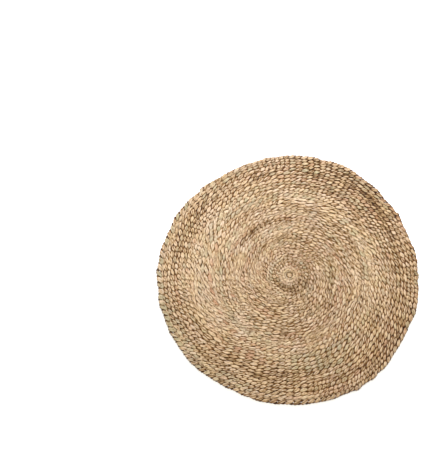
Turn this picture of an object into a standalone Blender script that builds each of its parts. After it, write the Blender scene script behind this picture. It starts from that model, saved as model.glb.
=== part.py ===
"""Round rug, hand twined from water hyacinth stalks: one flat cloth in one piece.

Metres, +Z up. The rug lies on Z = 0 with the middle of its bounding box at the origin. Its rows of
twining wind outward from a small round start, and a folded border holds their ends. Each row is a
raised rib, and the outline is as uneven as that of the hand-made cloth.
"""
import math

import bmesh
import bpy

# Driving sizes of the cloth
MEAN_RADIUS = 0.600
CLOTH_HEIGHT = 0.0115
GROOVE_DEPTH = 0.0025
START_RADIUS = 0.030
BORDER_WIDTH = 0.030

# How finely a full turn is divided
STEPS_PER_TURN = 60

# Rows of twining, which grow wider towards the border:
# share of the mean radius where the zone ends, rows in the zone
ROW_ZONES = (
    (0.40, 15),
    (0.70, 12),
    (0.95, 9),
)

# Section of the round start in the middle:
# share of its radius from the first row inward, height over the floor
START_SECTION = (
    (0.80, 0.0115),
    (0.35, 0.0105),
)
START_MIDDLE_HEIGHT = 0.0115

# Section of the folded border:
# share of its width from the last row outward, height over the floor
BORDER_SECTION = (
    (0.14, 0.0118),
    (0.40, 0.0130),
    (0.70, 0.0122),
    (0.92, 0.0090),
    (1.00, 0.0055),
    (0.95, 0.0018),
    (0.86, 0.0),
)

# Uneven outline, anticlockwise from +X:
# angle in degrees, reach past the mean radius as a share of it
OUTLINE = (
    (0, 0.000),
    (15, 0.001),
    (30, -0.002),
    (45, -0.005),
    (60, 0.010),
    (75, -0.002),
    (90, -0.012),
    (105, -0.026),
    (120, -0.026),
    (135, -0.015),
    (150, 0.003),
    (165, 0.015),
    (180, 0.024),
    (195, 0.027),
    (210, 0.021),
    (225, 0.013),
    (240, -0.005),
    (255, -0.001),
    (270, -0.004),
    (285, -0.003),
    (300, 0.010),
    (315, 0.004),
    (330, -0.014),
    (345, 0.002),
)

# The unevenness dies away towards the middle with this power of the radius
OUTLINE_FADE = 1.5

# Dry stalk, as one even colour: linear red, green, blue
STALK_COLOUR = (0.485, 0.328, 0.191, 1.0)
STALK_ROUGHNESS = 0.82

# Points nearer to each other than this are one point
WELD_DISTANCE = 0.00005
SAME_CIRCLE = 0.0001


def clear_scene():
    for thing in list(bpy.data.objects):
        bpy.data.objects.remove(thing, do_unlink=True)


def row_radius(wound):
    """Radius that the twining has reached after this many rows."""
    radius = START_RADIUS
    for end_share, rows in ROW_ZONES:
        pitch = (end_share * MEAN_RADIUS - radius) / rows
        if wound <= rows:
            return radius + pitch * max(wound, 0.0)
        radius = end_share * MEAN_RADIUS
        wound -= rows
    return radius


ROW_COUNT = sum(rows for _, rows in ROW_ZONES)
LAST_ROW_RADIUS = row_radius(ROW_COUNT)
WIDEST_ROW = LAST_ROW_RADIUS - row_radius(ROW_COUNT - 1)


def outline_reach(angle):
    """Uneven reach of the edge at an angle: a smooth closed curve through the outline's rows."""
    rows = len(OUTLINE)
    place = (angle / math.tau % 1.0) * rows
    index = int(place)
    along = place - index
    before, start, end, after = (OUTLINE[(index + step) % rows][1] for step in (-1, 0, 1, 2))
    bend = (
        2.0 * start
        + (end - before) * along
        + (2.0 * before - 5.0 * start + 4.0 * end - after) * along ** 2
        + (3.0 * start - before - 3.0 * end + after) * along ** 3
    )
    return bend / 2.0


def polar(vert):
    return math.atan2(vert.co.y, vert.co.x), math.hypot(vert.co.x, vert.co.y)


def put(vert, angle, radius, height):
    vert.co = (radius * math.cos(angle), radius * math.sin(angle), height)


def wound_strip():
    """One row's section, wound up a post of radius 1 like thread on a reel, one row a turn."""
    mesh = bpy.data.meshes.new("row_section")
    groove_ridge_groove = [(1.0, 0.0, 0.0), (1.0, 0.0, 0.5), (1.0, 0.0, 1.0)]
    mesh.from_pydata(groove_ridge_groove, [(0, 1), (1, 2)], [])
    reel = bpy.data.objects.new("reel", mesh)
    bpy.context.scene.collection.objects.link(reel)
    screw = reel.modifiers.new("wind", "SCREW")
    screw.axis = "Z"
    screw.angle = math.tau
    screw.screw_offset = 1.0
    screw.iterations = ROW_COUNT + 1
    screw.steps = STEPS_PER_TURN
    screw.render_steps = STEPS_PER_TURN
    screw.use_merge_vertices = False
    bpy.context.view_layer.update()
    wound = bpy.data.meshes.new_from_object(reel.evaluated_get(bpy.context.evaluated_depsgraph_get()))
    bm = bmesh.new()
    bm.from_mesh(wound)
    bmesh.ops.remove_doubles(bm, verts=bm.verts[:], dist=WELD_DISTANCE)
    bpy.data.objects.remove(reel, do_unlink=True)
    bpy.data.meshes.remove(mesh)
    bpy.data.meshes.remove(wound)
    return bm


def lay_rows_flat(bm):
    """The reel's height becomes the radius, so that its thread becomes the rows of the disc."""
    for vert in bm.verts:
        step = round(math.atan2(vert.co.y, vert.co.x) / math.tau * STEPS_PER_TURN) % STEPS_PER_TURN
        turned = step / STEPS_PER_TURN
        wound = vert.co.z - 1.0
        is_groove = abs(wound - turned - round(wound - turned)) < SAME_CIRCLE
        if is_groove:
            put(vert, turned * math.tau, row_radius(wound), CLOTH_HEIGHT - GROOVE_DEPTH)
        else:
            inner = row_radius(wound - 0.5)
            outer = row_radius(wound + 0.5)
            fullness = (outer - inner) / WIDEST_ROW
            height = CLOTH_HEIGHT - GROOVE_DEPTH * (1.0 - fullness)
            put(vert, turned * math.tau, (inner + outer) / 2.0, height)
    bmesh.ops.remove_doubles(bm, verts=bm.verts[:], dist=WELD_DISTANCE)
    bmesh.ops.dissolve_degenerate(bm, edges=bm.edges[:], dist=WELD_DISTANCE)


def open_edges(bm, radius):
    """The open edges that lie on the circle of this radius."""
    return [
        edge for edge in bm.edges
        if edge.is_boundary and all(abs(polar(vert)[1] - radius) < SAME_CIRCLE for vert in edge.verts)
    ]


def draw_out(bm, edges, radius, height):
    """Extrude a closed loop of open edges to another radius and height; return the new loop."""
    drawn = bmesh.ops.extrude_edge_only(bm, edges=edges)["geom"]
    for vert in (item for item in drawn if isinstance(item, bmesh.types.BMVert)):
        put(vert, polar(vert)[0], radius, height)
    return [item for item in drawn if isinstance(item, bmesh.types.BMEdge)]


def close_start(bm):
    """The round start in the middle: a low collar round a slightly domed button."""
    loop = open_edges(bm, START_RADIUS)
    for share, height in START_SECTION:
        loop = draw_out(bm, loop, START_RADIUS * share, height)
    button = bmesh.ops.holes_fill(bm, edges=loop, sides=0)["faces"]
    for vert in bmesh.ops.poke(bm, faces=button)["verts"]:
        vert.co.z = START_MIDDLE_HEIGHT


def close_border(bm):
    """The folded border round the last row, and the flat underside."""
    loop = open_edges(bm, LAST_ROW_RADIUS)
    for share, height in BORDER_SECTION:
        loop = draw_out(bm, loop, LAST_ROW_RADIUS + share * BORDER_WIDTH, height)
    bmesh.ops.holes_fill(bm, edges=loop, sides=0)


def pull_outline(bm):
    """Give the round cloth its uneven outline, and set its bounding box over the origin."""
    for vert in bm.verts:
        angle, radius = polar(vert)
        share = radius / MEAN_RADIUS
        put(vert, angle, radius * (1.0 + outline_reach(angle) * share ** OUTLINE_FADE), vert.co.z)
    middle_x = (min(v.co.x for v in bm.verts) + max(v.co.x for v in bm.verts)) / 2.0
    middle_y = (min(v.co.y for v in bm.verts) + max(v.co.y for v in bm.verts)) / 2.0
    bmesh.ops.translate(bm, verts=bm.verts[:], vec=(-middle_x, -middle_y, 0.0))


def stalk_material():
    material = bpy.data.materials.new("dry_hyacinth_stalk")
    material.use_nodes = True
    shader = material.node_tree.nodes["Principled BSDF"]
    shader.inputs["Base Color"].default_value = STALK_COLOUR
    shader.inputs["Roughness"].default_value = STALK_ROUGHNESS
    shader.inputs["Metallic"].default_value = 0.0
    return material


def make_rug(collection):
    bm = wound_strip()
    lay_rows_flat(bm)
    close_start(bm)
    close_border(bm)
    pull_outline(bm)
    bmesh.ops.recalc_face_normals(bm, faces=bm.faces[:])
    mesh = bpy.data.meshes.new("rug")
    bm.to_mesh(mesh)
    bm.free()
    mesh.materials.append(stalk_material())
    mesh.shade_smooth()
    mesh.set_sharp_from_angle(angle=math.radians(50))
    rug = bpy.data.objects.new("rug", mesh)
    collection.objects.link(rug)
    return rug


def main():
    clear_scene()
    collection = bpy.data.collections.new("water_hyacinth_rug")
    bpy.context.scene.collection.children.link(collection)
    make_rug(collection)


main()
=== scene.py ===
"""Looks of the round rug that is hand twined from dry water hyacinth stalks.

Metres, +Z up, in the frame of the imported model. Two flattened stalks, the weft, wind outward in a
spiral. Each goes over one radial spoke and under the next while the two twist round each other, so
that the top shows one slanted grain over every spoke. A thicker twisted row closes the edge.
"""
import math

import bpy
import numpy as np
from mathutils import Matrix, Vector


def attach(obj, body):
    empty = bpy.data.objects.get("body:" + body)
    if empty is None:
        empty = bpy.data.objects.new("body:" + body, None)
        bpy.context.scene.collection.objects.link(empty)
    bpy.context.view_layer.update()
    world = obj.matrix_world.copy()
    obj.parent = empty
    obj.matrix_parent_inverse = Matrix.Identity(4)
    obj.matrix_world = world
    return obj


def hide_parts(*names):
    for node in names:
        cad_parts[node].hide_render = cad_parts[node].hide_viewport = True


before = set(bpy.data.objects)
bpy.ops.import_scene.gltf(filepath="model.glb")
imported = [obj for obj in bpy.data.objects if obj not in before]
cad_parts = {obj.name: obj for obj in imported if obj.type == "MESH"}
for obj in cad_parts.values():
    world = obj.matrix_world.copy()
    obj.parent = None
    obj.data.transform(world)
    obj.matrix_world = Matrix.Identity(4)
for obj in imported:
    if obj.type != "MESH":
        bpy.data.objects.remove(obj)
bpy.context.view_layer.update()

# Driving sizes of the cloth, as in the solid. The uneven outline fades with this power of the
# radius, and its box is measured at this many places
MEAN_RADIUS = 0.600
BORDER_WIDTH = 0.0185
OUTLINE_FADE = 1.5
OUTLINE_STEPS = 60

# Uneven outline, anticlockwise from +X: angle in degrees, reach past the mean radius as its share
OUTLINE = (
    (0, 0.000),
    (15, 0.001),
    (30, -0.002),
    (45, -0.005),
    (60, 0.010),
    (75, -0.002),
    (90, -0.012),
    (105, -0.026),
    (120, -0.026),
    (135, -0.015),
    (150, 0.003),
    (165, 0.015),
    (180, 0.024),
    (195, 0.027),
    (210, 0.021),
    (225, 0.013),
    (240, -0.005),
    (255, -0.001),
    (270, -0.004),
    (285, -0.003),
    (300, 0.010),
    (315, 0.004),
    (330, -0.014),
    (345, 0.002),
)

# Rows of the weft: row edge reached, its radius
ROW_EDGES = (
    (-1, 0.0150),
    (0, 0.0275),
    (22, 0.348),
    (36, 0.582),
)
FIRST_ROW_EDGE = ROW_EDGES[0][0]
LAST_ROW_EDGE = ROW_EDGES[-1][0]

# How uneven the line between two rows is: row edge, share of the two sizes below. The first rows
# are calmer
ROW_UNEVENNESS = (
    (3, 1.2),
    (8, 2.2),
    (16, 1.5),
    (24, 1.2),
    (32, 1.5),
)
CALM_ROWS = 3.0
SHORT_WAVE_SPOKES = 1.3
SHORT_WAVE_SIZE = 0.0012
LONG_WAVE_SPOKES = 6.0
LONG_WAVE_SIZE = 0.0015

# Slow waves of the rows and of the spokes, as hands lay them, in tables of eight waves at the most:
# turns round the rug, turns over the radius, size
ROW_WAVES = (
    (2, 1.3, 0.0018),
    (3, -2.1, 0.0016),
    (5, 2.8, 0.0014),
    (8, -3.7, 0.0013),
    (13, 5.1, 0.0011),
)
SPOKE_WAVES = (
    (1, 1.1, 0.0080),
    (3, -1.6, 0.0060),
    (4, 2.5, 0.0030),
    (7, -4.4, 0.0015),
)
MOST_WAVES = 8

# The slow waves rise from the middle of the rug, this many times as fast as the radius does. Those
# of the rows fade out over this width at the edge, and those of the spokes within this radius
WAVE_RISE = 3.0
CALM_EDGE = 0.08
CALM_RADIUS = 0.05

# Spokes that the rows cross: last row with this number, number of spokes
SPOKES = (
    (0, 11),
    (1, 18),
    (2, 23),
    (3, 26),
    (4, 28),
    (5, 30),
    (6, 33),
    (7, 36),
    (9, 40),
    (11, 44),
    (13, 49),
    (15, 54),
    (18, 62),
    (20, 68),
    (23, 76),
    (25, 82),
    (27, 89),
    (29, 96),
    (32, 107),
    (34, 120),
    (37, 134),
)
EDGE_SPOKES = SPOKES[-1][1]

# How far a spoke of the first row and a grain lie off their even place, as shares of the distance
# between two spokes
SPOKE_DRIFT = 0.2
GRAIN_DRIFT = 0.16

# Sheet of the spokes: its half thickness at a spoke and between two, its rings, and its distance
# from the edge of the rug
SPOKE_HALF_THICKNESS = 0.0010
BETWEEN_HALF_THICKNESS = 0.0004
SHEET_RINGS = 30
SHEET_INSET = 0.012

# The weft begins this many spokes from the first one, and ends this many before the last
SPOKES_BEFORE_WEFT = 1
SPOKES_AFTER_WEFT = 25

# The weft is split after these rows, so that each piece is baked equally fine
WEFT_PIECE_ENDS = (9, 13, 16, 19, 22, 24, 26, 29, 32, 34, 37)

# A stalk where it lies spread on top and where it is squeezed as it passes the other one: half
# widths as shares of its row's width, roll at each twist in radians, and girth as a share
STALK_HALF_WIDTH = 0.46
STALK_SQUEEZED_HALF_WIDTH = 0.205
STALK_ROLL = 0.32
STALK_GIRTH = 2.4

# Heights in the cloth
MIDDLE_HEIGHT = 0.0061
STALK_LIFT = 0.0030
STALK_HALF_THICKNESS = 0.0026
STALK_SQUEEZED_HALF_THICKNESS = 0.0050
STALK_TOP = STALK_LIFT + STALK_HALF_THICKNESS
LOWEST_POINT = 0.0002

# The border's own heights, and its waves in and out: spokes from wave to wave, size
BORDER_MIDDLE_HEIGHT = 0.0062
BORDER_LIFT = 0.0033
BORDER_WAVE_SPOKES = 1.6
BORDER_WAVE_SIZE = 0.0044

# Section of a stalk, from its outer side over the top and back below: places across its half
# width, and the power that rounds it. A fold takes this share of its height at the most
SECTION_TOP = (1.0, 0.93, 0.74, 0.50, 0.25, 0.0, -0.25, -0.50, -0.74, -0.93, -1.0)
SECTION_UNDERSIDE = (-0.62, 0.0, 0.62)
SECTION_POWER = 3.6
FOLD_DEPTH = 0.75
section_across = np.array(SECTION_TOP + SECTION_UNDERSIDE)
STALK_SIDES = len(section_across)

# Rings of a tube for each spoke, a stalk's girth in distances between rings, and the margin between
# the columns of the bake map
RINGS_PER_SPOKE = 6
GIRTH_IN_RINGS = 7.9
BAKE_MARGIN = 0.03

# How much hands vary a stalk from one twist to the next, as shares of its usual size
UNEVEN_FULLNESS = 0.12
UNEVEN_SQUEEZE = 0.35
UNEVEN_SWAY = 0.6
UNEVEN_LIFT = 0.20
UNEVEN_SLIT = 0.50

# Slow rise and fall of a stalk: spokes from wave to wave, size
RISE_SPOKES = 2.3
RISE_SIZE = 0.0005

# Some grains are thin: the random value from which they are, and how much is taken off
THIN_FROM = 0.6
THIN_AMOUNT = 0.6

# How far a stalk sways across its row at each twist: share of the radius, share of the row's width
SWAY = (
    (0.00, 0.17),
    (0.20, 0.23),
    (0.50, 0.24),
    (0.75, 0.245),
    (0.90, 0.25),
)

# How far the stalks gape where they pass each other: share of the radius, amount
GAPING = (
    (0.00, 0.50),
    (0.06, 0.60),
    (0.07, 1.10),
    (0.12, 1.10),
    (0.16, 0.30),
    (0.35, 0.05),
    (0.65, 0.40),
    (0.88, 0.65),
)

# Some slits gape more: random value from which they do, gain, and the most that any slit gapes
MORE_GAPING_FROM = 0.35
MORE_GAPING_GAIN = 1.6
MOST_GAPING = 1.3

# What gaping does to the stalks at a slit: shares of the row's width, thicknesses, and the share of
# the lift that is left where nothing gapes
GAPING_WIDENS = 0.030
GAPING_SQUEEZES = 0.01
GAPING_THINS = 0.0003
CLOSED_THICKENS = 0.0005
CLOSED_LIFT = 0.72

# Lightness of the stalks that the maker took for each part: share of the radius, lightness
ZONE_TONES = (
    (0.000, 0.55),
    (0.020, 0.75),
    (0.065, 0.85),
    (0.080, 0.10),
    (0.095, -0.05),
    (0.105, -0.12),
    (0.118, -0.45),
    (0.140, -0.22),
    (0.180, -0.03),
    (0.250, 0.17),
    (0.320, 0.04),
    (0.450, 0.08),
    (0.550, 0.19),
    (0.650, 0.25),
    (0.730, 0.14),
    (0.830, -0.35),
    (0.920, -0.50),
    (1.000, -0.16),
)

# Lightness on each side of the rug, part stalk tone, part painted light and shade: angle in
# degrees, lightness
SIDE_TONES_AND_PAINTED_LIGHT = (
    (0, 0.13),
    (45, -0.25),
    (90, 0.04),
    (135, 0.03),
    (180, 0.30),
    (225, 0.09),
    (270, -0.01),
    (315, -0.19),
    (360, 0.13),
)

# Bundles of like stalks along the rows: from and to this angle, share of the radius, lightness. The
# half width of each is a share of the radius too, and its ends fade over some degrees
BUNDLES = (
    (78, 152, 0.455, -1.10),
    (45, 85, 0.845, -0.55),
    (2, 58, 0.905, -0.28),
    (155, 222, 0.515, -0.50),
    (232, 285, 0.745, -0.20),
    (255, 305, 0.880, -0.32),
    (-45, -15, 0.925, -0.25),
    (-25, 30, 0.330, -0.60),
    (-20, 20, 0.680, -0.50),
    (15, 50, 0.265, -0.30),
    (195, 300, 0.112, -0.90),
    (45, 80, 0.165, 0.45),
    (248, 300, 0.325, 0.35),
    (280, 320, 0.490, 0.40),
    (105, 135, 0.640, 0.35),
    (105, 140, 0.870, 0.50),
    (165, 200, 0.815, 0.45),
    (195, 290, 0.870, 0.50),
    (112, 182, 0.940, 0.45),
    (200, 285, 0.945, 0.90),
    (45, 80, 0.980, -0.55),
    (285, 318, 0.980, -0.55),
)
BUNDLE_HALF_WIDTH = 0.022
BUNDLE_END_DEGREES = 8.0

# Random patches of like stalks: number round the rug, width, amount
TONE_PATCHES = (
    (10, 0.024, 0.28),
    (7, 0.08, 0.05),
)
HUE_PATCHES = (
    (9, 0.040, 0.40),
)

# Shade in the slits between grains and in the grooves between rows: share of the radius, amounts
SHADE = (
    (0.06, 0.50, 0.30),
    (0.09, 0.70, 0.45),
    (0.14, 0.70, 0.35),
    (0.20, 0.54, 0.20),
    (0.32, 0.54, 0.22),
    (0.45, 0.56, 0.36),
    (0.65, 0.44, 0.42),
    (0.85, 0.28, 0.50),
    (0.93, 0.28, 0.50),
    (0.955, 0.40, 0.38),
    (0.980, 0.75, 0.35),
)

# A slit shades a stalk near its twist, at both its sides and on the side that turns down. A groove
# shades it towards the side of its row, over these shares of the row's half width
SLIT_HALF_WIDTH = 0.35
SLIT_AT_SIDES = 0.6
SLIT_AT_TWIST = 0.4
GROOVE_FROM = 0.70
GROOVE_WIDTH = 0.40

# How much deeper the shade is among dark stalks, and how much lighter among pale ones, where paler
# ones than the last make no more difference
DARK_STALK_SHADE = 0.80
PALE_STALK_SHADE = 1.45
PALEST_STALK = 0.4

# Creases that run along a stalk: how far they wander across its half width, usual depth
CREASES = (
    (0.30, 0.55),
    (0.75, 0.10),
)
CREASE_HALF_WIDTH = 0.19
CREASE_WANDER_LENGTH = 0.075
CREASE_DEPTH_LENGTH = 0.035
UNEVEN_CREASE = 0.8

# Creases and dents are shallower in the first rows: the share of the radius from which they deepen,
# the share over which they would grow from nothing, and the least share of their depth
SHALLOW_FOLDS = 0.055
FOLDS_DEEPEN = 0.02
LEAST_FOLDS = 0.55

# Dents between the creases: their length, and the random value from which there is one
DENT_LENGTH = 0.040
DENT_FROM = 0.45

# A strand is many stalks of about this length, one after the other, and the length varies in slow
# waves. Each stalk has its own lightness and hue, which drift along it
STALK_LENGTH = 0.30
LENGTH_WAVE = 0.8
UNEVEN_LENGTH = 0.6
STALK_TONE = 0.38
STALK_HUE = 0.70
TONE_DRIFT_LENGTH = 0.09
TONE_DRIFT = 0.30
HUE_DRIFT_LENGTH = 0.05
HUE_DRIFT = 0.28

# What makes up the lightness of a point: the part of the rug, blotches, and painted shade in folds
USUAL_TONE = 0.40
ZONE_TONE = 0.60
BLOTCH_LENGTH = 0.024
BLOTCH_TONE = 0.45
FOLD_PAINTED_SHADE = -2.2

# The wide pale part of the border: its middle and half width in degrees, what it adds
PALE_BORDER_DEGREES = 168.0
PALE_BORDER_HALF_WIDTH = 60.0
PALE_BORDER_EXTRA_WIDTH = 0.0050
PALE_BORDER_TONE = 0.42
PALE_BORDER_HUE = 0.60
BORDER_TONE = -0.20

# The start: places of its short stalks side by side, the direction in which they lie, their sizes.
# They widen and rise over the middle, and the outer two lie lower, by the square of their place
START_PLACES = (-0.0074, 0.0, 0.0074)
START_TURN = math.radians(25)
START_HALF_LENGTH = 0.0130
START_HALF_WIDTH = 0.0030
START_HALF_THICKNESS = 0.0030
START_BULGE_RADIUS = 0.0138
START_WIDENS = 0.0012
START_END_HEIGHT = 0.0036
START_RISE = 0.0042
START_SIDE_DROP = 22.0
START_TOP = 0.0044
START_GIRTH = 0.030
START_RINGS = 13

# Colours of dry stalks from dark to pale: place in the ramp, sRGB from 0 to 255
STALK_COLOURS = (
    (0.00, (130, 101, 64)),
    (0.28, (185, 154, 116)),
    (0.52, (203, 173, 137)),
    (1.00, (207, 183, 152)),
)
GREENISH_STALK = (177, 161, 128)
REDDISH_STALK = (182, 138, 104)
# Colours of the spokes: painted shade, dark brown as deep between the stalks
SPOKE_SHADE_COLOURS = (
    (0.30, (50, 33, 19)),
    (0.70, (92, 66, 42)),
)

# Tints that multiply a stalk's colour: fibres, bundles faded warm or cool, and shade by depth
DARK_FIBRE = (0.37, 0.255, 0.100, 1.0)
PALE_FIBRE = (1.03, 1.03, 1.03, 1.0)
WARM_FADED = (1.0, 0.99, 0.91, 1.0)
COOL_FADED = (0.99, 1.0, 1.075, 1.0)
DEPTH_TINTS = (
    (0.26, (0.17, 0.07, 0.012, 1.0)),
    (0.53, (0.50, 0.345, 0.150, 1.0)),
    (0.74, (1.0, 1.0, 1.0, 1.0)),
)

# Camera, fitted to the outlines in the photo
CAMERA_DISTANCE = 4.265
CAMERA_ELEVATION = math.radians(74.17)
CAMERA_LENS = 68.78
AIM_FROM_START = (-0.3465, 0.1871)

chance = np.random.default_rng(20)


def between_rows(table, places, column=1):
    """Values of a table's column at places in its first one, on straight lines between its rows."""
    rows = np.array(table, dtype=float)
    return np.interp(places, rows[:, 0], rows[:, column])


def eased(share):
    """A share from 0 to 1 that starts and ends gently."""
    return share * share * (3.0 - 2.0 * share)


def blended(values, places, first=0):
    """Smooth passage from each value to the next, where the first value lies at the place first."""
    index = np.floor(places).astype(int)
    blend = eased(places - index).reshape(index.shape + (1,) * (values.ndim - 1))
    return values[index - first] * (1.0 - blend) + values[index - first + 1] * blend


def smooth_noise(places, amount=1.0):
    """Smooth random values from -amount to amount, with a new one at each whole number."""
    first = int(np.floor(np.min(places))) - 1
    last = int(np.ceil(np.max(places))) + 2
    return blended(chance.uniform(-amount, amount, last - first + 1), places, first)


def smooth_line(last):
    """A smooth random line from -1 to 1, as a function of places from 0 to the last."""
    values = chance.uniform(-1.0, 1.0, int(last) + 3)
    return lambda places: blended(values, np.clip(places, 0.0, last))


def side_noise(places, amount):
    """Random values for each ring and side of a stalk, smooth along it."""
    return blended(chance.uniform(-amount, amount, (int(places.max()) + 3, STALK_SIDES)), places)


def stepped_noise(places, amount):
    """One random value from -amount to amount for each whole number."""
    index = np.floor(places).astype(int)
    values = chance.uniform(-amount, amount, index.max() - index.min() + 1)
    return values[index - index.min()]


def patchy_noise(angle, radius, number_around, width):
    """Smooth random patches that lie along the rows, from -1 to 1."""
    around = np.mod(angle / math.tau, 1.0) * number_around
    outward = radius / width
    layers = int(outward.max()) + 2
    values = chance.uniform(-1.0, 1.0, (layers, number_around))
    step, layer = np.floor(around).astype(int), np.floor(outward).astype(int)
    turn, rise = eased(around - step), eased(outward - layer)
    here, there = step % number_around, (step + 1) % number_around
    low = values[layer, here] * (1.0 - turn) + values[layer, there] * turn
    high = values[layer + 1, here] * (1.0 - turn) + values[layer + 1, there] * turn
    return low * (1.0 - rise) + high * rise


def all_patches(angle, radius, patches):
    """Sum of random patches, each with its own number round the rug, width and amount."""
    return sum(
        patchy_noise(angle, radius, number, width) * amount
        for number, width, amount in patches
    )


def outline_reach(angle):
    """Uneven reach of the edge at an angle: a smooth closed curve through the outline's rows."""
    reaches = np.array([reach for _, reach in OUTLINE])
    rows = len(reaches)
    place = np.mod(angle / math.tau, 1.0) * rows
    index = np.floor(place).astype(int)
    along = place - index
    before, start, end, after = (reaches[(index + step) % rows] for step in (-1, 0, 1, 2))
    bend = (
        2.0 * start
        + (end - before) * along
        + (2.0 * before - 5.0 * start + 4.0 * end - after) * along ** 2
        + (3.0 * start - before - 3.0 * end + after) * along ** 3
    )
    return bend / 2.0


def pulled(angle, radius):
    """Plan position of a point of the round cloth once its edge is pulled to its uneven outline."""
    share = np.maximum(radius, 0.0) / MEAN_RADIUS
    reach = radius * (1.0 + outline_reach(angle) * share ** OUTLINE_FADE)
    return reach * np.cos(angle), reach * np.sin(angle)


def outline_middle():
    """Middle of the outline's box, which the frame has at the origin."""
    angle = np.arange(OUTLINE_STEPS) / OUTLINE_STEPS * math.tau
    x, y = pulled(angle, np.full(OUTLINE_STEPS, MEAN_RADIUS))
    return (x.min() + x.max()) / 2.0, (y.min() + y.max()) / 2.0


MIDDLE_X, MIDDLE_Y = outline_middle()
row_wave_starts, spoke_wave_starts = chance.uniform(0.0, math.tau, (2, MOST_WAVES))


def waves(table, starts, angle, radius):
    """Sum of a table's slow waves, which rise from nothing in the middle of the rug."""
    share = radius / MEAN_RADIUS
    total = np.zeros_like(radius)
    for (turns, outward, size), start in zip(table, starts):
        total += size * np.sin(turns * angle + outward * math.tau * share + start)
    return total * np.clip(share * WAVE_RISE, 0.0, 1.0)


def placed(angle, radius, height):
    """Points of the cloth from their place in an even round cloth."""
    calm = np.clip((MEAN_RADIUS - radius) / CALM_EDGE, 0.0, 1.0)
    shifted = radius + waves(ROW_WAVES, row_wave_starts, angle, radius) * calm
    drift = waves(SPOKE_WAVES, spoke_wave_starts, angle, radius)
    turned = angle + drift / np.maximum(radius, CALM_RADIUS)
    x, y = pulled(turned, shifted)
    return np.stack([x - MIDDLE_X, y - MIDDLE_Y, height], axis=-1)


def spokes_of(row):
    """Number of spokes that a row crosses."""
    return next(spokes for last_row, spokes in SPOKES if row <= last_row)


# The spokes that the weft has passed at each row edge, and the unevenness of the lines between rows
row_marks = np.arange(FIRST_ROW_EDGE, LAST_ROW_EDGE + 2, dtype=float)
spokes_passed = np.cumsum([0.0] + [spokes_of(mark) for mark in row_marks[1:]])
short_waves = smooth_line(spokes_passed[-1] / SHORT_WAVE_SPOKES)
long_waves = smooth_line(spokes_passed[-1] / LONG_WAVE_SPOKES)


def row_edge(wound):
    """Radius of the line between two rows, as uneven as hands lay it."""
    calm = np.clip((wound - FIRST_ROW_EDGE) / CALM_ROWS, 0.0, 1.0)
    calm = calm * np.clip(LAST_ROW_EDGE - wound, 0.0, 1.0) * between_rows(ROW_UNEVENNESS, wound)
    passed = np.interp(wound, row_marks, spokes_passed)
    uneven = short_waves(passed / SHORT_WAVE_SPOKES) * SHORT_WAVE_SIZE
    uneven = uneven + long_waves(passed / LONG_WAVE_SPOKES) * LONG_WAVE_SIZE
    return between_rows(ROW_EDGES, wound) + uneven * calm


def spoke_places():
    """Where the spokes cross each row, in turns. They keep their places from row to row, apart from
    evening out a little, and new ones come in where the gaps are widest."""
    count = spokes_of(row_marks[1])
    places = (np.arange(count) + chance.uniform(-SPOKE_DRIFT, SPOKE_DRIFT, count)) / count
    rows = []
    for mark in row_marks[1:]:
        while len(places) < spokes_of(mark):
            gaps = np.diff(np.append(places, places[0] + 1.0))
            widest = int(np.argmax(gaps * chance.uniform(0.7, 1.0, len(gaps))))
            places = np.insert(places, widest + 1, places[widest] + gaps[widest] / 2.0)
        for _ in range(2):
            before = np.append(places[-1] - 1.0, places[:-1])
            after = np.append(places[1:], places[0] + 1.0)
            places = places * 0.5 + (before + after) * 0.25
        rows.append(places)
    return rows


def grain_places(rows):
    """Where each grain of the weft lies, in turns from the first row edge on."""
    turns = np.concatenate([mark + places for mark, places in zip(row_marks, rows)])
    turns += chance.uniform(-GRAIN_DRIFT, GRAIN_DRIFT, len(turns)) * np.gradient(turns)
    return np.sort(turns)


spoke_rows = spoke_places()
spoke_turns = grain_places(spoke_rows)


def tube_faces(count, first):
    """Side faces and end faces of a tube with this many rings, from its first point's number on."""
    here = first + np.arange(count * STALK_SIDES).reshape(count, STALK_SIDES)
    beside = np.roll(here, -1, axis=1)
    sides = np.stack([here[:-1], beside[:-1], beside[1:], here[1:]], axis=-1).reshape(-1, 4)
    return sides.tolist(), [here[0, ::-1].tolist(), here[-1].tolist()]


def face_map(left, right, low, high):
    """Places on a map of the corners of each side face, from the four edges of its field."""
    left, right, low, high = np.broadcast_arrays(left, right, low, high)
    corners = ((left, low), (right, low), (right, high), (left, high))
    return np.stack([np.stack(corner, axis=-1) for corner in corners], axis=2).reshape(-1, 2)


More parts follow.
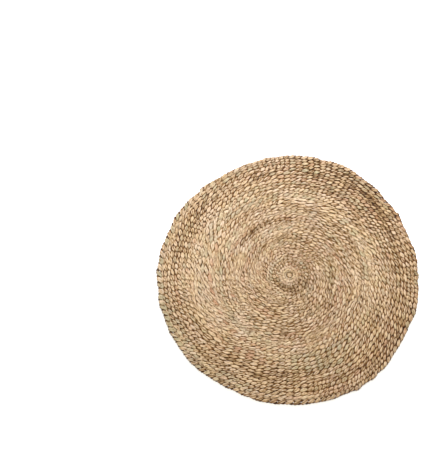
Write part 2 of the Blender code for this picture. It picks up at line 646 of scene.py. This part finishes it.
def tube_mesh(name, strands):
    """One mesh of closed tubes. All that a strand holds is given ring by ring: the rings' points,
    how far along it they lie, its girth, and the crown, tone and hue of each point."""
    ring_count = sum(len(strand["along"]) for strand in strands)
    columns = max(int(round(math.sqrt(ring_count / GIRTH_IN_RINGS))), 1)
    rings_per_column = math.ceil(ring_count / columns) + 1
    left = np.arange(STALK_SIDES)[None, :] / STALK_SIDES
    right = (np.arange(STALK_SIDES)[None, :] + 1) / STALK_SIDES
    faces, ends, bake_map, stalk_map = [], [], [], []
    laid = 0
    for strand in strands:
        along = strand["along"]
        side_faces, end_faces = tube_faces(len(along), laid * STALK_SIDES)
        faces += side_faces
        ends += end_faces
        girth = strand["girth"].mean()
        stalk_map.append(face_map(left * girth, right * girth, along[:-1, None], along[1:, None]))
        column, down = np.divmod(laid + np.arange(len(along) - 1)[:, None], rings_per_column)
        field = 1.0 - 2.0 * BAKE_MARGIN
        bake_map.append(face_map(
            (column + BAKE_MARGIN + left * field) / columns,
            (column + BAKE_MARGIN + right * field) / columns,
            down / rings_per_column,
            (down + 1) / rings_per_column,
        ))
        laid += len(along)
    mesh = bpy.data.meshes.new(name)
    points = np.concatenate([strand["rings"].reshape(-1, 3) for strand in strands])
    mesh.from_pydata(points, [], faces + ends)
    mesh.update()
    for map_name, blocks in (("OFBake", bake_map), ("Stalk", stalk_map)):
        on_sides = np.concatenate(blocks)
        whole = np.zeros((len(mesh.loops), 2))
        whole[:len(on_sides)] = on_sides
        mesh.uv_layers.new(name=map_name).data.foreach_set("uv", whole.ravel())
    for key in ("crown", "tone", "hue"):
        values = np.concatenate([strand[key].ravel() for strand in strands])
        mesh.attributes.new(key, "FLOAT", "POINT").data.foreach_set("value", values)
    mesh.shade_smooth()
    mesh.set_sharp_from_angle(angle=math.radians(80))
    return mesh


def section_points(half_width, half_thickness, roll, fold):
    """Rounded flat section for each ring, with its folds: offsets outward and upward."""
    upright = (1.0 - np.abs(section_across) ** SECTION_POWER) ** (1.0 / SECTION_POWER)
    upright[len(SECTION_TOP):] *= -1.0
    out = half_width[:, None] * section_across
    up = half_thickness[:, None] * upright * (1.0 - FOLD_DEPTH * fold)
    cos, sin = np.cos(roll)[:, None], np.sin(roll)[:, None]
    return out * cos + up * sin, up * cos - out * sin


def folds(along):
    """How deep the dents and creases of a flattened stalk are, from 0 to 1, by ring and side."""
    total = np.clip(side_noise(along / DENT_LENGTH, 1.0) - DENT_FROM, 0.0, 1.0 - DENT_FROM)
    for reach, usual_depth in CREASES:
        place = smooth_noise(along / CREASE_WANDER_LENGTH, reach)[:, None]
        depth = usual_depth + smooth_noise(along / CREASE_DEPTH_LENGTH, UNEVEN_CREASE)
        depth = np.clip(depth, 0.0, 1.0)[:, None]
        crease = depth * np.exp(-((section_across - place) / CREASE_HALF_WIDTH) ** 2)
        total = np.maximum(total, crease)
    return total


def stalk_sizes(passed, spread, width, gaping):
    """Half width and half thickness of a stalk at each ring. spread is 1 where it lies flat over or
    under a spoke, and 0 where the two stalks squeeze past each other."""
    fullness = 1.0 + smooth_noise(passed + 0.5, UNEVEN_FULLNESS)
    thin = np.clip(smooth_noise(passed + 0.5) - THIN_FROM, 0.0, 1.0 - THIN_FROM)
    fullness = fullness - THIN_AMOUNT * thin
    narrow = (STALK_SQUEEZED_HALF_WIDTH - GAPING_SQUEEZES * gaping) * width
    narrow = narrow * (1.0 + smooth_noise(passed, UNEVEN_SQUEEZE))
    wide = (STALK_HALF_WIDTH + GAPING_WIDENS * gaping) * width * fullness
    thick = STALK_SQUEEZED_HALF_THICKNESS - GAPING_THINS * gaping
    flat = (STALK_HALF_THICKNESS + CLOSED_THICKENS * (1.0 - gaping)) * fullness
    return narrow + (wide - narrow) * spread ** 0.5, thick + (flat - thick) * spread


def stalk_crown(crown, passed, share, twist, place, lightness):
    """How far each point stands up in the light, with the shade of slits and grooves taken off.
    place is how far the point lies from the middle of its row, in half widths of the row."""
    slit, groove = between_rows(SHADE, share, 1), between_rows(SHADE, share, 2)
    near_twist = np.exp(-(np.abs(np.cos(twist)) / SLIT_HALF_WIDTH) ** 2)
    notch = near_twist * np.clip(slit + smooth_noise(passed, UNEVEN_SLIT), 0.0, 1.0)
    facing = np.clip(section_across * np.sin(twist)[:, None], 0.0, 1.0)
    depth = SLIT_AT_SIDES * section_across ** 2 + SLIT_AT_TWIST * facing
    crown *= 1.0 - notch[:, None] * depth
    crown *= 1.0 - groove[:, None] * np.clip((place - GROOVE_FROM) / GROOVE_WIDTH, 0.0, 1.0)
    deeper = DARK_STALK_SHADE * np.clip(-lightness, 0.0, 1.0)
    lighter = PALE_STALK_SHADE * np.clip(-lightness, -PALEST_STALK, 0.0)
    return crown ** (1.0 + deeper + lighter)[:, None]


def stalk_tones(along, lightness, hue_patch):
    """Lightness and hue of the stalks that follow each other along a strand."""
    stalk = along / STALK_LENGTH + smooth_noise(along / LENGTH_WAVE, UNEVEN_LENGTH)
    tone = stepped_noise(stalk, STALK_TONE) + smooth_noise(along / TONE_DRIFT_LENGTH, TONE_DRIFT)
    hue = stepped_noise(stalk + 0.2, STALK_HUE) + smooth_noise(along / HUE_DRIFT_LENGTH, HUE_DRIFT)
    return tone + lightness * ZONE_TONE, hue + hue_patch


def twisted_stalk(passed, angle, radius, width, which, lift, middle, patch):
    """One of the two stalks of a row, ring by ring. passed counts the spokes up to each ring. which
    is 0 or 1: the one stalk goes over the spokes that the other goes under."""
    share = radius / MEAN_RADIUS
    twist = math.pi * (passed + which)
    over = np.cos(twist)
    spread = np.abs(over)
    more = np.clip(smooth_noise(passed + 0.5) - MORE_GAPING_FROM, 0.0, 1.0)
    gaping = np.minimum(between_rows(GAPING, share) + MORE_GAPING_GAIN * more, MOST_GAPING)
    half_width, half_thickness = stalk_sizes(passed, spread, width, gaping)
    sway = -between_rows(SWAY, share) * width * np.sin(twist)
    sway *= 1.0 + smooth_noise(passed, UNEVEN_SWAY)
    roll = -STALK_ROLL * np.sin(twist) * over
    rise = lift * (CLOSED_LIFT + (1.0 - CLOSED_LIFT) * gaping) * np.sign(over) * spread ** 0.5
    height = middle + rise * (1.0 + smooth_noise(passed, UNEVEN_LIFT))
    height += smooth_noise(passed / RISE_SPOKES, RISE_SIZE)
    travelled = np.hypot(np.diff(radius), np.diff(angle) * radius[:-1])
    along = np.concatenate([[0.0], np.cumsum(travelled)])
    deepening = np.clip((share[:, None] - SHALLOW_FOLDS) / FOLDS_DEEPEN, LEAST_FOLDS, 1.0)
    fold = folds(along) * deepening
    out, up = section_points(half_width, half_thickness, roll, fold)
    reach = (radius + sway)[:, None] + out
    rings = placed(np.broadcast_to(angle[:, None], reach.shape), reach, height[:, None] + up)
    rings[..., 2] = np.maximum(rings[..., 2], LOWEST_POINT)
    lightness = between_rows(ZONE_TONES, share) + patch[0]
    crown = np.clip(np.abs(rings[..., 2] - middle) / STALK_TOP, 0.0, 1.0)
    place = np.abs(sway[:, None] + out) / (width[:, None] / 2.0)
    crown = stalk_crown(crown, passed, share, twist, place, lightness)
    tone, hue = stalk_tones(along, lightness, patch[1])
    tone = tone[:, None] + side_noise(along / BLOTCH_LENGTH, BLOTCH_TONE)
    return {
        "rings": rings,
        "along": along,
        "girth": np.full(len(along), STALK_GIRTH * width.mean()),
        "crown": crown,
        # Folds take tone off: painted shade in the dents and creases
        "tone": tone + USUAL_TONE + FOLD_PAINTED_SHADE * fold,
        "hue": np.repeat(hue[:, None], STALK_SIDES, axis=1),
    }


def tone_patches(angle, radius):
    """Lightness and hue that neighbouring rows share where a bundle of like stalks was used, with
    painted light and shade by side.
    """
    degrees = np.degrees(angle)
    tone = all_patches(angle, radius, TONE_PATCHES)
    # Sides of the rug: partly the stalks' tone, partly painted light and shade
    tone += between_rows(SIDE_TONES_AND_PAINTED_LIGHT, np.mod(degrees, 360.0))
    for start, end, share, lightness in BUNDLES:
        past_start = np.mod(degrees - start, 360.0)
        from_ends = np.minimum(past_start, end - start - past_start)
        inside = np.clip(from_ends / BUNDLE_END_DEGREES, 0.0, 1.0)
        off_row = (radius / MEAN_RADIUS - share) / BUNDLE_HALF_WIDTH
        tone += lightness * inside * np.exp(-off_row ** 2)
    return tone, all_patches(angle, radius, HUE_PATCHES)


def cut_strand(strand, start, end):
    """The rings of a strand from one ring up to another, as a strand of its own."""
    return {key: values[start:end] for key, values in strand.items()}


def hidden_ring(strand, ring):
    """The ring nearest above or below this one at which the strand passes below the other."""
    last = len(strand["along"]) - 1
    if ring in (0, last):
        return ring
    around = slice(ring - RINGS_PER_SPOKE, ring + RINGS_PER_SPOKE + 1)
    heights = strand["rings"][around, :, 2].mean(axis=1)
    return ring - RINGS_PER_SPOKE + int(heights.argmin())


def weft_strands():
    """Both stalks of the whole spiral."""
    start = SPOKES_BEFORE_WEFT * RINGS_PER_SPOKE
    end = (len(spoke_turns) - SPOKES_AFTER_WEFT) * RINGS_PER_SPOKE
    passed = np.arange(start, end + 1) / RINGS_PER_SPOKE
    wound = np.interp(passed, np.arange(len(spoke_turns)), spoke_turns)
    inner, outer = row_edge(wound - 1.0), row_edge(wound)
    angle = wound * math.tau
    radius = (inner + outer) / 2.0
    width = outer - inner
    patch = tone_patches(angle, radius)
    return [
        twisted_stalk(passed, angle, radius, width, which, STALK_LIFT, MIDDLE_HEIGHT, patch)
        for which in (0, 1)
    ]


def shown(name, mesh, material):
    """A finished piece of the rug, from its mesh."""
    piece = bpy.data.objects.new(name, mesh)
    bpy.context.scene.collection.objects.link(piece)
    mesh.materials.append(material)
    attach(piece, "root")
    return piece


def linear(red, green, blue):
    """Linear colour of an sRGB one given from 0 to 255."""
    def one(value):
        value /= 255.0
        return value / 12.92 if value <= 0.04045 else ((value + 0.055) / 1.055) ** 2.4
    return one(red), one(green), one(blue), 1.0


def colour_ramp(nodes, stops):
    """A ramp node with these stops: where each lies from 0 to 1, its colour."""
    made = nodes.new("ShaderNodeValToRGB")
    elements = made.color_ramp.elements
    for element, (at, colour) in zip(elements, (stops[0], stops[-1])):
        element.position = at
        element.color = colour
    for at, colour in stops[1:-1]:
        elements.new(at).color = colour
    return made


def stalk_group():
    """Fibre, blotch and tone of a dry stalk, with painted shade by depth, as colours and heights
    over its surface.
    """
    group = bpy.data.node_groups.new("dry_stalk_surface", "ShaderNodeTree")
    group.interface.new_socket("Darkening", in_out="INPUT", socket_type="NodeSocketFloat")
    group.interface.new_socket("Color", in_out="OUTPUT", socket_type="NodeSocketColor")
    group.interface.new_socket("Roughness", in_out="OUTPUT", socket_type="NodeSocketFloat")
    group.interface.new_socket("Height", in_out="OUTPUT", socket_type="NodeSocketFloat")
    nodes, links = group.nodes, group.links

    def node(kind, **settings):
        made = nodes.new(kind)
        for key, value in settings.items():
            setattr(made, key, value)
        return made

    def feed(sockets, values):
        for socket, value in zip(sockets, values):
            if isinstance(value, bpy.types.NodeSocket):
                links.new(value, socket)
            else:
                socket.default_value = value

    def math_node(operation, *values, clamped=False):
        made = node("ShaderNodeMath", operation=operation, use_clamp=clamped)
        feed(made.inputs, values)
        return made.outputs[0]

    def weighted(first, *others):
        total = math_node("MULTIPLY", *first)
        for other in others:
            total = math_node("ADD", total, math_node("MULTIPLY", *other))
        return total

    def mix(factor, first, second, blend="MIX"):
        made = node("ShaderNodeMix", data_type="RGBA", blend_type=blend)
        feed((made.inputs[0], made.inputs[6], made.inputs[7]), (factor, first, second))
        return made.outputs[2]

    def stretched(value, start, end, low=0.0, high=1.0):
        made = node("ShaderNodeMapRange")
        names = ("Value", "From Min", "From Max", "To Min", "To Max")
        feed((made.inputs[name] for name in names), (value, start, end, low, high))
        return made.outputs[0]

    def attribute(name):
        made = node("ShaderNodeAttribute", attribute_type="GEOMETRY", attribute_name=name)
        return made.outputs["Fac"]

    def noise(scale_across, scale_along, detail):
        stretch = node("ShaderNodeMapping")
        stretch.inputs["Scale"].default_value = (scale_across, scale_along, 1.0)
        links.new(stalk_map.outputs[0], stretch.inputs["Vector"])
        made = node("ShaderNodeTexNoise", noise_dimensions="2D")
        made.inputs["Scale"].default_value = 1.0
        made.inputs["Detail"].default_value = detail
        links.new(stretch.outputs[0], made.inputs["Vector"])
        return made.outputs[0]

    stalk_map = node("ShaderNodeUVMap", uv_map="Stalk")
    given = node("NodeGroupInput")
    out = node("NodeGroupOutput")

    # What changes over the stalks: from the mesh, along the fibres, and from bundle to bundle
    tone = attribute("tone")
    hue = attribute("hue")
    crown = attribute("crown")
    fibre = noise(900.0, 22.0, 2.0)
    crease = noise(260.0, 9.0, 1.0)
    streak = noise(190.0, 80.0, 2.0)
    blotch = noise(120.0, 75.0, 2.0)
    fading = noise(60.0, 16.0, 1.0)
    place = node("ShaderNodeTexCoord")
    bundles = node("ShaderNodeTexNoise")
    bundles.inputs["Scale"].default_value = 12.0
    bundles.inputs["Detail"].default_value = 1.0
    links.new(place.outputs["Object"], bundles.inputs["Vector"])

    # Colour of the stalk itself
    base = colour_ramp(nodes, [(at, linear(*colour)) for at, colour in STALK_COLOURS])
    links.new(math_node("MULTIPLY_ADD", tone, 0.5, 0.5), base.inputs[0])
    green_share = math_node("MULTIPLY", math_node("SUBTRACT", hue, 0.35), 1.3, clamped=True)
    other_hue = math_node("MULTIPLY", hue, -1.0)
    red_share = math_node("MULTIPLY", math_node("SUBTRACT", other_hue, 0.45), 1.2, clamped=True)
    colour = mix(green_share, base.outputs[0], linear(*GREENISH_STALK))
    colour = mix(red_share, colour, linear(*REDDISH_STALK))

    # Fading, fibres, painted shade by depth and darkening on top of it
    aged = weighted((fading, 0.38), (bundles.outputs[0], 0.62))
    warmth = mix(stretched(aged, 0.36, 0.64), WARM_FADED, COOL_FADED)
    colour = mix(1.0, colour, warmth, "MULTIPLY")
    grain = weighted((streak, 0.55), (fibre, 0.25), (blotch, 0.20), (tone, 0.014))
    tint = mix(stretched(grain, 0.405, 0.465), DARK_FIBRE, PALE_FIBRE)
    colour = mix(1.0, colour, tint, "MULTIPLY")
    depth = colour_ramp(nodes, DEPTH_TINTS)
    links.new(crown, depth.inputs[0])
    colour = mix(1.0, colour, depth.outputs[0], "MULTIPLY")
    light_left = math_node("SUBTRACT", 1.0, given.outputs[0])
    grey = node("ShaderNodeCombineColor")
    feed(grey.inputs, (light_left, light_left, light_left))
    colour = mix(1.0, colour, grey.outputs[0], "MULTIPLY")
    links.new(colour, out.inputs["Color"])

    links.new(stretched(fibre, 0.0, 1.0, 0.85, 0.55), out.inputs["Roughness"])
    height = math_node("ADD", math_node("MULTIPLY", fibre, 0.4), crease)
    links.new(height, out.inputs["Height"])
    return group


def stalk_material(name, group, darkening):
    """Dry stalk, with this share of its light taken off."""
    material = bpy.data.materials.new(name)
    material.use_nodes = True
    nodes, links = material.node_tree.nodes, material.node_tree.links
    shader = nodes["Principled BSDF"]
    shader.inputs["Specular IOR Level"].default_value = 0.3
    surface = nodes.new("ShaderNodeGroup")
    surface.node_tree = group
    surface.inputs["Darkening"].default_value = darkening
    links.new(surface.outputs["Color"], shader.inputs["Base Color"])
    links.new(surface.outputs["Roughness"], shader.inputs["Roughness"])
    bump = nodes.new("ShaderNodeBump")
    bump.inputs["Strength"].default_value = 0.45
    bump.inputs["Distance"].default_value = 0.0008
    links.new(surface.outputs["Height"], bump.inputs["Height"])
    links.new(bump.outputs[0], shader.inputs["Normal"])
    return material


def spoke_material():
    """Fibrous spokes, coloured dark brown: painted shade between the stalks."""
    material = bpy.data.materials.new("spokes_in_shade")
    material.use_nodes = True
    nodes, links = material.node_tree.nodes, material.node_tree.links
    shader = nodes["Principled BSDF"]
    shader.inputs["Roughness"].default_value = 0.9
    place = nodes.new("ShaderNodeTexCoord")
    fibre = nodes.new("ShaderNodeTexNoise")
    fibre.inputs["Scale"].default_value = 240.0
    fibre.inputs["Detail"].default_value = 3.0
    shade = colour_ramp(nodes, [(at, linear(*colour)) for at, colour in SPOKE_SHADE_COLOURS])
    links.new(place.outputs["Object"], fibre.inputs["Vector"])
    links.new(fibre.outputs[0], shade.inputs[0])
    links.new(shade.outputs[0], shader.inputs["Base Color"])
    return material


def make_weft(material):
    """The rows from the start to the border, as pieces that meet where both stalks are hidden."""
    strands = weft_strands()
    last = len(strands[0]["along"]) - 1
    ends = np.searchsorted(spoke_turns, WEFT_PIECE_ENDS) * RINGS_PER_SPOKE
    marks = np.minimum(np.append(0, ends), last)
    pieces = []
    for number, (low, high) in enumerate(zip(marks[:-1], marks[1:]), start=1):
        name = f"weft_rows_{number}"
        parts = [
            cut_strand(strand, hidden_ring(strand, low), hidden_ring(strand, high) + 1)
            for strand in strands
        ]
        pieces.append(shown(name, tube_mesh(name, parts), material))
    return pieces


def make_start(material):
    """Short stalks side by side, whose ends go under the first row."""
    strands = []
    for offset in START_PLACES:
        run = np.linspace(-START_HALF_LENGTH, START_HALF_LENGTH, START_RINGS)
        bulge = np.sqrt(np.maximum(1.0 - (run / START_BULGE_RADIUS) ** 2, 0.0))
        half_width = START_HALF_WIDTH + START_WIDENS * bulge
        half_thickness = np.full(len(run), START_HALF_THICKNESS)
        fold = folds(run - run[0])
        out, up = section_points(half_width, half_thickness, np.zeros(len(run)), fold)
        height = START_END_HEIGHT + START_RISE * bulge - START_SIDE_DROP * offset * offset
        across = offset + out
        x = run[:, None] * math.cos(START_TURN) - across * math.sin(START_TURN) - MIDDLE_X
        y = run[:, None] * math.sin(START_TURN) + across * math.cos(START_TURN) - MIDDLE_Y
        z = height[:, None] + up
        strands.append({
            "rings": np.stack([x, y, z], axis=-1),
            "along": run - run[0],
            "girth": np.full(len(run), START_GIRTH),
            "crown": np.clip(np.abs(z - MIDDLE_HEIGHT) / START_TOP, 0.0, 1.0),
            # Folds take tone off the start too: painted shade in its dents and creases
            "tone": 0.85 - 1.1 * fold,
            "hue": np.zeros(z.shape),
        })
    return shown("start", tube_mesh("start", strands), material)


def make_border(material):
    """The thicker twisted row at the edge, once round the rug and a little over its own start."""
    passed = np.arange(EDGE_SPOKES * RINGS_PER_SPOKE + 2) / RINGS_PER_SPOKE + 0.5
    last_row = spoke_rows[-1]
    turns = np.append(last_row, last_row[:2] + 1.0)
    angle = np.interp(passed, np.arange(EDGE_SPOKES + 2), turns) * math.tau
    from_pale = (np.degrees(angle) - PALE_BORDER_DEGREES) / PALE_BORDER_HALF_WIDTH
    pale = np.exp(-from_pale ** 4)
    width = BORDER_WIDTH + PALE_BORDER_EXTRA_WIDTH * pale
    closing = np.clip(np.minimum(passed - 0.5, EDGE_SPOKES + 0.5 - passed) / 2.0, 0.0, 1.0)
    waving = smooth_noise(passed / BORDER_WAVE_SPOKES, BORDER_WAVE_SIZE)
    radius = MEAN_RADIUS - width * 0.5 + waving * closing
    tone, hue = tone_patches(angle, radius)
    patch = (tone + PALE_BORDER_TONE * pale + BORDER_TONE, hue * 0.6 + PALE_BORDER_HUE * pale)
    strands = [
        twisted_stalk(passed, angle, radius, width, which, BORDER_LIFT, BORDER_MIDDLE_HEIGHT, patch)
        for which in (0, 1)
    ]
    return shown("border", tube_mesh("border", strands), material)


def spoke_sheet():
    """Mesh of the spokes in the middle of the cloth, as a thin sheet ribbed along the radius."""
    around = EDGE_SPOKES * 2
    radii = np.append(0.004, np.linspace(0.015, MEAN_RADIUS - SHEET_INSET, SHEET_RINGS))
    angle = np.arange(around) / around * math.tau
    at_spoke = np.arange(around) % 2 == 0
    half_thickness = np.where(at_spoke, SPOKE_HALF_THICKNESS, BETWEEN_HALF_THICKNESS)
    grid_angle, grid_radius = np.meshgrid(angle, radii)
    grid_thickness = np.broadcast_to(half_thickness, grid_angle.shape)
    points = np.concatenate([
        placed(grid_angle, grid_radius, MIDDLE_HEIGHT + side * grid_thickness)
        for side in (1.0, -1.0)
    ])
    count = len(radii) * around
    rim = count - around
    faces = []
    for low in range(0, rim, around):
        high = low + around
        for step in range(around):
            after = (step + 1) % around
            upper = (low + step, high + step, high + after, low + after)
            faces.append(upper)
            faces.append([count + corner for corner in reversed(upper)])
    for step in range(around):
        after = (step + 1) % around
        faces.append((rim + step, count + rim + step, count + rim + after, rim + after))
    faces.append(list(range(around)))
    faces.append(list(range(count + around - 1, count - 1, -1)))
    mesh = bpy.data.meshes.new("spokes")
    mesh.from_pydata(points.reshape(-1, 3).tolist(), [], faces)
    mesh.update()
    mesh.shade_smooth()
    return mesh


def make_floor():
    """Pale floor just below the rug, wide enough for a low view."""
    bpy.ops.mesh.primitive_circle_add(
        vertices=128, radius=40.0, fill_type="NGON", location=(0.0, 0.0, -0.0002)
    )
    floor = bpy.context.object
    floor.name = "floor"
    material = bpy.data.materials.new("pale_floor")
    material.use_nodes = True
    shader = material.node_tree.nodes["Principled BSDF"]
    shader.inputs["Base Color"].default_value = (0.9, 0.9, 0.9, 1.0)
    shader.inputs["Roughness"].default_value = 0.9
    shader.inputs["Specular IOR Level"].default_value = 0.0
    shader.inputs["Emission Color"].default_value = (1.0, 1.0, 1.0, 1.0)
    shader.inputs["Emission Strength"].default_value = 0.62
    floor.data.materials.append(material)


def make_camera():
    """Camera at the photo's viewing angle."""
    data = bpy.data.cameras.new("camera")
    data.lens = CAMERA_LENS
    data.sensor_width = 36.0
    data.clip_end = 50.0
    camera = bpy.data.objects.new("camera", data)
    bpy.context.scene.collection.objects.link(camera)
    aim = Vector((AIM_FROM_START[0] - MIDDLE_X, AIM_FROM_START[1] - MIDDLE_Y, 0.006))
    back = Vector((0.0, -math.cos(CAMERA_ELEVATION), math.sin(CAMERA_ELEVATION)))
    camera.location = aim + back * CAMERA_DISTANCE
    camera.rotation_euler = (math.pi / 2.0 - CAMERA_ELEVATION, 0.0, 0.0)
    bpy.context.scene.camera = camera


def make_light():
    """Soft room light, and a wide lamp behind the rug and above it."""
    world = bpy.data.worlds.new("soft_room")
    world.use_nodes = True
    background = world.node_tree.nodes["Background"]
    background.inputs["Color"].default_value = (1.0, 0.95, 0.77, 1.0)
    background.inputs["Strength"].default_value = 0.59
    bpy.context.scene.world = world
    data = bpy.data.lights.new("key", "AREA")
    data.shape = "DISK"
    data.size = 1.8
    data.energy = 430.0
    data.color = (0.95, 1.0, 1.14)
    key = bpy.data.objects.new("key", data)
    bpy.context.scene.collection.objects.link(key)
    key.location = (0.10, 4.10, 2.90)
    key.rotation_euler = (-key.location).to_track_quat("-Z", "Y").to_euler()
    bpy.context.scene.view_settings.view_transform = "Standard"


def main():
    group = stalk_group()
    weft_material = stalk_material("weft_stalk", group, 0.0)
    border_material = stalk_material("border_stalk", group, 0.06)
    weft = make_weft(weft_material) + [make_start(weft_material)]
    border = make_border(border_material)
    spokes = shown("spokes", spoke_sheet(), spoke_material())
    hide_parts("rug")
    make_floor()
    make_camera()
    make_light()


main()
